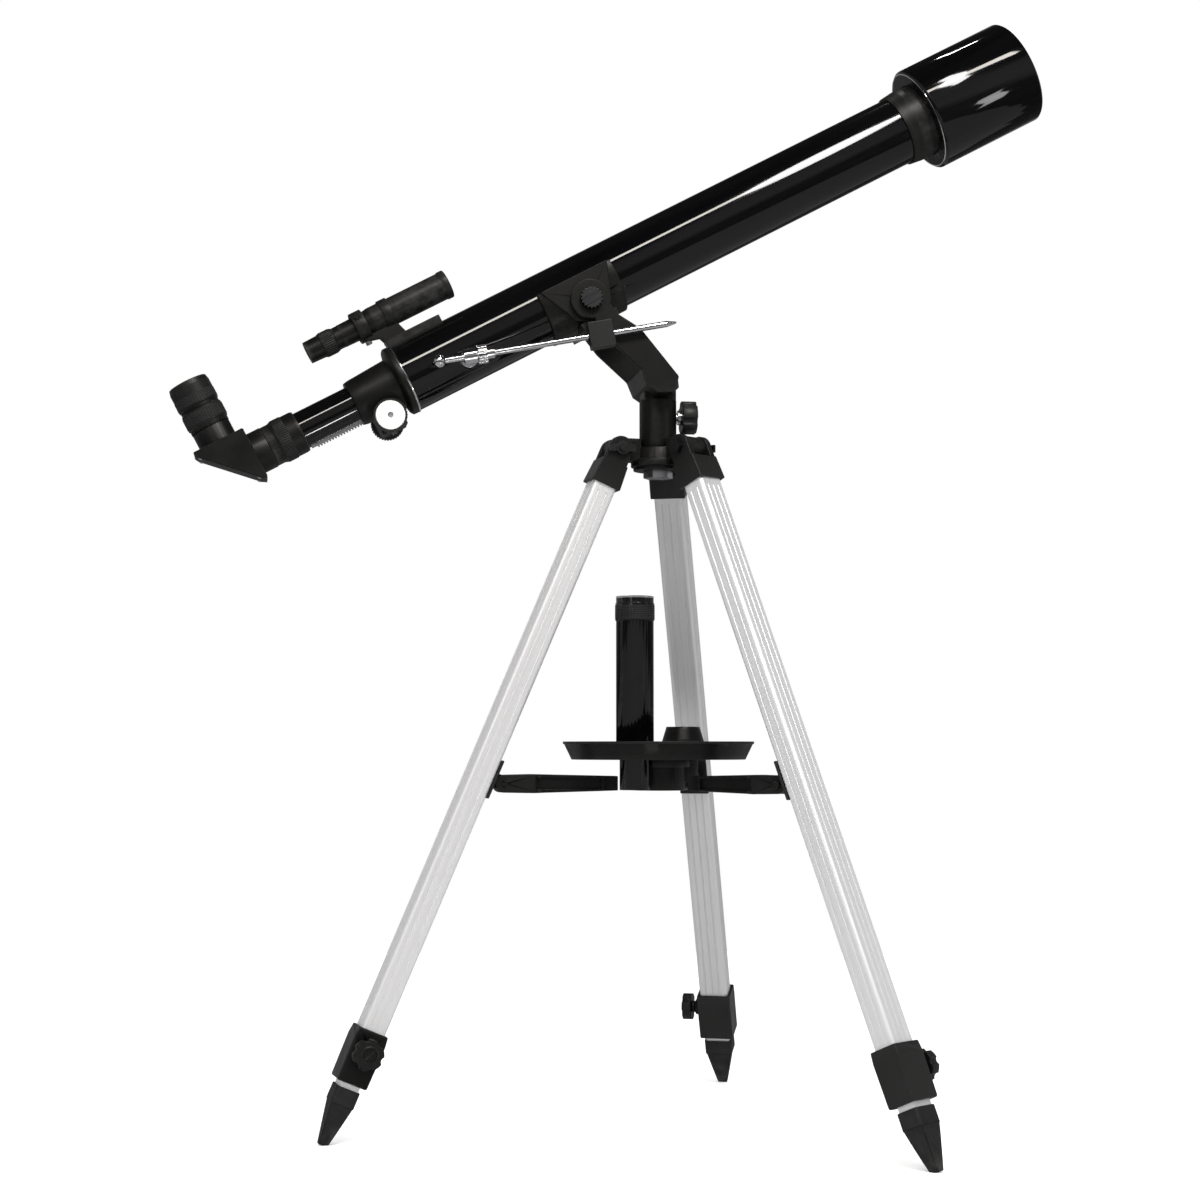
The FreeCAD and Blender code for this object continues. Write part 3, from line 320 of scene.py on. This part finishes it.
# ---- added pieces ----
# places in mm: along the tube from the altitude axis, and above the tube's middle
TUBE_HALFWAY = 71.75                                   # the middle of the main tube
TUBE_BACK, HOOD_BACK, HOOD_FRONT = -159.4, 325.0, 419.0
COLLAR_BACK = -270.0
FINDER_LIFT, FINDER_RING_BACK, FINDER_FRONT = 53.0, -203.5, -96.0
EYEPIECE_ALONG = -312.4
GRIP_LIFT, UPPER_GRIP_LIFT, EYE_CUP_LIFT = 39.6, 55.6, 72.6
PLATE_ALONG, PLATE_LIFT = -313.75, -1.75               # the middle of the diagonal's sloping back
CAP_SUNK = 0.0002                                      # how deep a knob's cap sits in it, in metres


def scope(along, up=0.0):
    """A point given in millimetres: along the tube from the altitude axis, and above the tube's middle."""
    return on_tube((along - TUBE_HALFWAY) / 1000, up / 1000)


def add_piece(name, body, slot, points, faces):
    mesh = bpy.data.meshes.new(name)
    mesh.from_pydata([tuple(p) for p in points], [], faces)
    mesh.shade_smooth()
    mesh.set_sharp_from_angle(angle=math.radians(38))
    mesh.materials.append(LOOKS[slot])
    piece = bpy.data.objects.new(name, mesh)
    bpy.context.scene.collection.objects.link(piece)
    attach(piece, body)
    return piece


def turned(name, body, slot, start, axis, outline, flutes=0, depth=0.0, sides=96):
    """A ring turned about an axis from closed (along, radius) corners in mm, with flutes cut in its rim."""
    axis = axis.normalized()
    across = axis.orthogonal().normalized()
    other = axis.cross(across)
    rim = max(radius for _, radius in outline) - 0.2
    points = []
    for i in range(sides):
        turn = math.tau * i / sides
        spoke = across * math.cos(turn) + other * math.sin(turn)
        cut = depth * (0.5 - 0.5 * math.cos(flutes * turn))
        for along, radius in outline:
            reach = radius - cut if radius > rim else radius
            points.append(start + (axis * along + spoke * reach) / 1000)
    count = len(outline)
    faces = []
    for i in range(sides):
        for j in range(count):
            near, far = i * count, (i + 1) % sides * count
            faces.append((near + j, far + j, far + (j + 1) % count, near + (j + 1) % count))
    return add_piece(name, body, slot, points, faces)


def socket_screw(name, body, slot, start, axis, radius):
    """A domed screw head with a six-sided socket."""
    axis = axis.normalized()
    across = axis.orthogonal().normalized()
    other = axis.cross(across)
    steps = ((0, 1.0, 0), (0.25, 1.0, 0), (0.45, 0.9, 0), (0.6, 0.62, 0), (0.58, 0.5, 1), (0.2, 0.48, 1))
    points, faces, sides = [], [], 24
    for i in range(sides):
        turn = math.tau * i / sides
        spoke = across * math.cos(turn) + other * math.sin(turn)
        flat = math.cos(math.pi / 6) / math.cos(turn % (math.pi / 3) - math.pi / 6)
        for along, share, hexed in steps:
            reach = radius * share * (flat if hexed else 1.0)
            points.append(start + (axis * along * radius + spoke * reach) / 1000)
    count = len(steps)
    for i in range(sides):
        near, far = i * count, (i + 1) % sides * count
        for j in range(count - 1):
            faces.append((near + j, far + j, far + j + 1, near + j + 1))
    faces.append(tuple(i * count + count - 1 for i in range(sides)))
    faces.append(tuple(i * count for i in reversed(range(sides))))
    return add_piece(name, body, slot, points, faces)


def groove_bands(length, pitch, inner, outer):
    """Outline of a sleeve with ridges one pitch apart, as (along, radius) corners in mm."""
    count, groove = int(length / pitch), 0.35
    outline = [(0, inner)]
    for i in range(count):
        at = i * pitch
        outline += [(at, outer - groove), (at + pitch * 0.2, outer),
                    (at + pitch * 0.7, outer), (at + pitch * 0.9, outer - groove)]
    outline.append((count * pitch, inner))
    return outline


def add_telescope_details():
    turned("tube_rear_trim", "telescope", "chrome", scope(TUBE_BACK), TUBE_DIR,
           [(0, 27.6), (0, 28.9), (0.3, 29.1), (1.1, 29.1), (1.4, 28.8), (1.4, 27.6)])
    turned("hood_back_trim", "dew_cap", "chrome", scope(HOOD_BACK), TUBE_DIR,
           [(0.6, 40.2), (-0.1, 40.4), (-0.3, 40.9), (-0.1, 41.4), (0.6, 41.6)])
    turned("hood_front_bead", "dew_cap", "black_satin", scope(HOOD_FRONT), TUBE_DIR,
           [(-4.0, 40.3), (-4.0, 39.7), (-3.2, 39.2), (-1.2, 39.2), (-0.4, 39.7), (-0.4, 40.3)])
    turned("collar_grip", "drawtube", "black_satin", scope(COLLAR_BACK), TUBE_DIR,
           [(0, 17.0), (0, 17.6), (0.5, 17.9), (8.5, 17.9), (9, 17.6), (9, 17.0)], 60, 0.45, 480)
    turned("finder_focus_ring", "telescope", "black_satin",
           scope(FINDER_RING_BACK, FINDER_LIFT), TUBE_DIR,
           [(0, 9.6), (0, 10.1), (0.5, 10.4), (9.0, 10.4), (9.5, 10.1), (9.5, 9.6)], 36, 0.5, 288)
    turned("finder_front_ring", "telescope", "black_satin", scope(FINDER_FRONT, FINDER_LIFT), TUBE_DIR,
           [(0, 11.0), (0, 11.5), (0.6, 11.8), (4.6, 11.8), (5.2, 11.5), (5.2, 11.0)])


def add_eyepiece_details():
    turned("eyepiece_grip", "eyepiece", "rubber", scope(EYEPIECE_ALONG, GRIP_LIFT), TUBE_UP,
           groove_bands(9.6, 1.2, 16.4, 17.2), 48, 0.25, 384)
    turned("eyepiece_upper_grip", "eyepiece", "rubber", scope(EYEPIECE_ALONG, UPPER_GRIP_LIFT), TUBE_UP,
           groove_bands(7.2, 1.2, 16.4, 17.1), 48, 0.25, 384)
    turned("eye_cup_roll", "eyepiece", "rubber", scope(EYEPIECE_ALONG, EYE_CUP_LIFT), TUBE_UP,
           [(0, 11.0), (0, 13.4), (0.9, 13.3), (1.3, 12.7), (1.3, 12.1), (0.9, 11.5)])


def add_diagonal_details():
    """Cover plate and four screws on the sloping back of the diagonal."""
    down = (-TUBE_DIR - TUBE_UP).normalized()
    run = (TUBE_UP - TUBE_DIR).normalized()
    centre = scope(PLATE_ALONG, PLATE_LIFT)
    half_long, half_wide, corner = 27.5, 15.2, 3.0
    points = []
    for level, inset in ((-0.2, 0.0), (0.55, 0.0), (0.8, 0.35)):
        for sx, sy, start in ((1, 1, 0), (-1, 1, 90), (-1, -1, 180), (1, -1, 270)):
            for step in range(7):
                turn = math.radians(start + step * 15)
                u = sx * (half_long - corner) + (corner - inset) * math.cos(turn)
                v = sy * (half_wide - corner) + (corner - inset) * math.sin(turn)
                points.append(centre + (run * u + SIDEWAYS * v + down * level) / 1000)
    around = len(points) // 3
    faces = [tuple(range(2 * around, 3 * around))]
    for ring in (0, around):
        for i in range(around):
            after = (i + 1) % around
            faces.append((ring + i, ring + after, ring + around + after, ring + around + i))
    add_piece("diagonal_cover_plate", "diagonal", "black_metal", points, faces)
    for index, (u, v) in enumerate(((24, 11.8), (24, -11.8), (-24, 11.8), (-24, -11.8))):
        place = centre + (run * u + SIDEWAYS * v + down * 0.7) / 1000
        socket_screw(f"diagonal_plate_screw_{index + 1}", "diagonal", "steel", place, down, 1.5)


def add_tray_details():
    tray_centre = middle("accessory_tray")
    tray = Vector((tray_centre.x, tray_centre.y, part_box("accessory_tray")[1].z))
    turned("tray_rolled_rim", "tray", "black_satin", tray, UPRIGHT,
           [(-1.4, 75.6), (-1.5, 76.6), (-1.0, 76.95), (-0.4, 76.6), (-0.05, 75.9), (-0.4, 75.2),
            (-1.0, 75.1)], sides=160)
    tube = middle("barlow_tube")
    top = Vector((tube.x, tube.y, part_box("barlow_tube")[1].z))
    turned("barlow_grip", "tray", "rubber", top, UPRIGHT,
           [(z - 18.5, r) for z, r in groove_bands(11.5, 1.4, 15.2, 15.9)], 40, 0.2, 320)
    turned("barlow_top_ring", "tray", "chrome", top, UPRIGHT,
           [(-1.5, 14.2), (-1.5, 15.1), (-0.3, 15.1), (0, 14.8), (0, 13.6), (-0.4, 13.4)])


def knob_cap(name, body, face, axis, radius, dish):
    """A raised rim round a shallow dish on the face of a knob, let in by CAP_SUNK; radii in mm."""
    turned(name, body, "black_metal", face - axis * CAP_SUNK, axis,
           [(0, 0.05), (0, radius), (0.5, radius - 0.1), (0.9, radius - 0.7), (1.0, dish + 0.4),
            (0.5, dish), (0.5, 0.05)], sides=48)


def add_knob_caps():
    for side in SIDES:
        knob = middle(f"leg_{side}_clamp_knob")
        axis = Vector(JOINTS[f"clamp_screw_{side}"]["axis"]).normalized()
        if axis.dot(knob - middle(f"leg_{side}_clamp")) < 0:
            axis = -axis
        tops = [axis.dot(vertex.co) for vertex in frame["nodes"][f"leg_{side}_clamp_knob"].data.vertices]
        face = knob + axis * (max(tops) - axis.dot(knob))
        knob_cap(f"clamp_knob_cap_{side}", f"clamp_knob_{side}", face, axis, 7.0, 5.0)
    knob = middle("azimuth_lock_knob")
    face = Vector((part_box("azimuth_lock_knob")[1].x, knob.y, knob.z))
    knob_cap("azimuth_knob_cap", "azimuth_lock", face, Vector((1, 0, 0)), 8.0, 5.8)


add_telescope_details()
add_eyepiece_details()
add_diagonal_details()
add_tray_details()
add_knob_caps()

# ---- stage, light and camera ----
CAMERA_TURN = math.radians(8.0)      # the telescope points this much away from the camera
CAMERA_DISTANCE, CAMERA_HEIGHT, CAMERA_LEFT = 1.856, 0.304, 0.047
CAMERA_PITCH, CAMERA_LENS = math.radians(3.65), 69.0
FLOOR_REACH = 1.6                    # radius of the round floor
FLOOR_IN_GLOSS = 0.26                # its brightness in reflections
# brightness of the surroundings in reflections, from straight below (0) to straight above (1)
WALLS = ((0, 0.04), (0.44, 0.06), (0.52, 0.32), (0.70, 0.28), (0.78, 0.02), (1, 0.01))
KEY_PLACE, KEY_TARGET = Vector((-1.9, -2.4, 1.6)), Vector((0, 0, 0.45))
# radii, in metres, of the round parts that the highlights are aimed at
MAIN_RADIUS, HOOD_RADIUS, DRAW_RADIUS = 0.028, 0.0434, 0.015
RIGHT = Vector((math.cos(CAMERA_TURN), -math.sin(CAMERA_TURN), 0))
AWAY = Vector((math.sin(CAMERA_TURN), math.cos(CAMERA_TURN), 0))


def add_camera():
    camera = bpy.data.objects.new("camera", bpy.data.cameras.new("camera"))
    bpy.context.scene.collection.objects.link(camera)
    camera.data.lens = CAMERA_LENS
    camera.data.sensor_width = 36.0
    place = Vector((AXIS.x, AXIS.y, CAMERA_HEIGHT)) - RIGHT * CAMERA_LEFT - AWAY * CAMERA_DISTANCE
    look = AWAY * math.cos(CAMERA_PITCH) + Vector((0, 0, math.sin(CAMERA_PITCH)))
    up = RIGHT.cross(look)
    turn = Matrix((RIGHT, up, -look)).transposed()
    camera.matrix_world = Matrix.Translation(place) @ turn.to_4x4()
    bpy.context.scene.camera = camera


def add_area(name, place, target, size, power, colour=(1, 1, 1), long_axis=None,
             shape="RECTANGLE", spread=math.pi):
    """An area light. A spread under a half turn is a grid on its front, as bright straight ahead."""
    light = bpy.data.objects.new(name, bpy.data.lights.new(name, "AREA"))
    bpy.context.scene.collection.objects.link(light)
    light.data.spread = spread
    if spread < math.pi:
        power *= 1 - spread / 2 / math.tan(spread / 2)
    light.data.shape = shape
    light.data.size, light.data.size_y = size
    light.data.energy = power
    light.data.color = colour
    back = (place - target).normalized()
    side = (long_axis or UPRIGHT.cross(back)).normalized()
    side = (side - back * side.dot(back)).normalized()
    turn = Matrix((side, back.cross(side), back)).transposed()
    light.matrix_world = Matrix.Translation(place) @ turn.to_4x4()


def add_floor():
    """A round paper sweep under the tripod."""
    mesh = bpy.data.meshes.new("floor")
    around = [math.tau * i / 96 for i in range(96)]
    rim = [(AXIS.x + FLOOR_REACH * math.cos(a), AXIS.y + FLOOR_REACH * math.sin(a), 0) for a in around]
    mesh.from_pydata(rim, [], [tuple(range(len(rim)))])
    floor = bpy.data.objects.new("floor", mesh)
    bpy.context.scene.collection.objects.link(floor)
    t = Tree("floor_paint")
    t.link(t.mix(t.noise(3.0, 4.0), (0.95, 0.95, 0.95), (0.97, 0.97, 0.97)), t.shader.inputs["Base Color"])
    t.set(Roughness=0.9, Specular_IOR_Level=0.1, Emission_Color=(1, 1, 1, 1), Emission_Strength=0.14)
    dull = t.add("ShaderNodeBsdfDiffuse")
    dull.inputs["Color"].default_value = (FLOOR_IN_GLOSS, FLOOR_IN_GLOSS, FLOOR_IN_GLOSS, 1)
    either = t.add("ShaderNodeMixShader")
    t.link(t.add("ShaderNodeLightPath").outputs["Is Glossy Ray"], either.inputs[0])
    t.link(t.shader.outputs[0], either.inputs[1])
    t.link(dull.outputs[0], either.inputs[2])
    t.link(either.outputs[0], t.nodes["Material Output"].inputs["Surface"])
    mesh.materials.append(t.material)


def add_world():
    """White to the eye and on matt surfaces. In reflections, grey low walls under a dark ceiling."""
    world = bpy.data.worlds.new("studio")
    world.use_nodes = True
    bpy.context.scene.world = world
    nodes, links = world.node_tree.nodes, world.node_tree.links
    background = nodes["Background"]
    rays = nodes.new("ShaderNodeLightPath")
    coords = nodes.new("ShaderNodeTexCoord")
    split = nodes.new("ShaderNodeSeparateXYZ")      # Z from -1, straight below, to 1, straight above
    links.new(coords.outputs["Generated"], split.inputs[0])
    walls = nodes.new("ShaderNodeValToRGB")
    stops = walls.color_ramp.elements
    while len(stops) < len(WALLS):
        stops.new(0.5)
    for stop, (place, shade) in zip(stops, WALLS):
        stop.position = place
        stop.color = (shade, shade, shade, 1)
    height = nodes.new("ShaderNodeMapRange")
    height.inputs["From Min"].default_value = -1.0
    links.new(split.outputs["Z"], height.inputs["Value"])
    links.new(height.outputs["Result"], walls.inputs["Fac"])
    shiny = nodes.new("ShaderNodeMix")
    shiny.inputs[2].default_value = 1.0
    links.new(rays.outputs["Is Glossy Ray"], shiny.inputs[0])
    links.new(walls.outputs["Color"], shiny.inputs[3])
    links.new(shiny.outputs[0], background.inputs["Strength"])
    background.inputs["Color"].default_value = (1.0, 1.0, 1.0, 1)


def add_glint(name, along, share, radius, size, radiance, colour, shape="RECTANGLE", reach=1.7,
              spread=math.pi):
    """A light whose reflection shows on a round part of the telescope.

    along is the part's place from the middle of the main tube, share is how high on its radius the
    reflection shows, size is the light's own along the tube and across it, and reach its distance.
    """
    eye = bpy.context.scene.camera.matrix_world.translation
    centre = on_tube(along)
    view = (centre - eye).normalized()
    facing = -(view - TUBE_DIR * view.dot(TUBE_DIR)).normalized()
    turn = math.asin(share)
    normal = facing * math.cos(turn) + facing.cross(TUBE_DIR) * math.sin(turn)
    spot = centre + normal * radius
    ray = (spot - eye).normalized()
    place = spot + (ray - normal * 2 * ray.dot(normal)) * reach
    area = size[0] * size[1] * (math.pi / 4 if shape == "ELLIPSE" else 1.0)
    add_area(name, place, spot, size, radiance * math.pi * area, colour, TUBE_DIR, shape, spread)


def add_lights():
    """Lights for the highlights along the enamel, and a soft key."""
    cream, white = (1.0, 0.95, 0.89), (1.0, 0.99, 0.99)
    add_glint("strip", 0.06, 0.37, MAIN_RADIUS, (1.6, 0.2), 20, cream)
    add_glint("oval", 0.16, 0.36, MAIN_RADIUS, (0.27, 0.7), 26, white, "ELLIPSE")
    add_glint("rim", 0.30, 0.86, HOOD_RADIUS, (0.2, 0.07), 60, white)
    add_glint("low", -0.30, -0.34, DRAW_RADIUS, (0.06, 0.05), 40, white,
              reach=0.7, spread=math.radians(30))
    add_glint("patch", 0.30, -0.25, HOOD_RADIUS, (0.13, 0.25), 8, white,
              reach=0.75, spread=math.radians(60))
    add_area("key", KEY_PLACE, KEY_TARGET, (0.7, 1.6), 5)


bpy.context.scene.view_settings.view_transform = "Standard"
add_camera()
add_world()
add_lights()
add_floor()
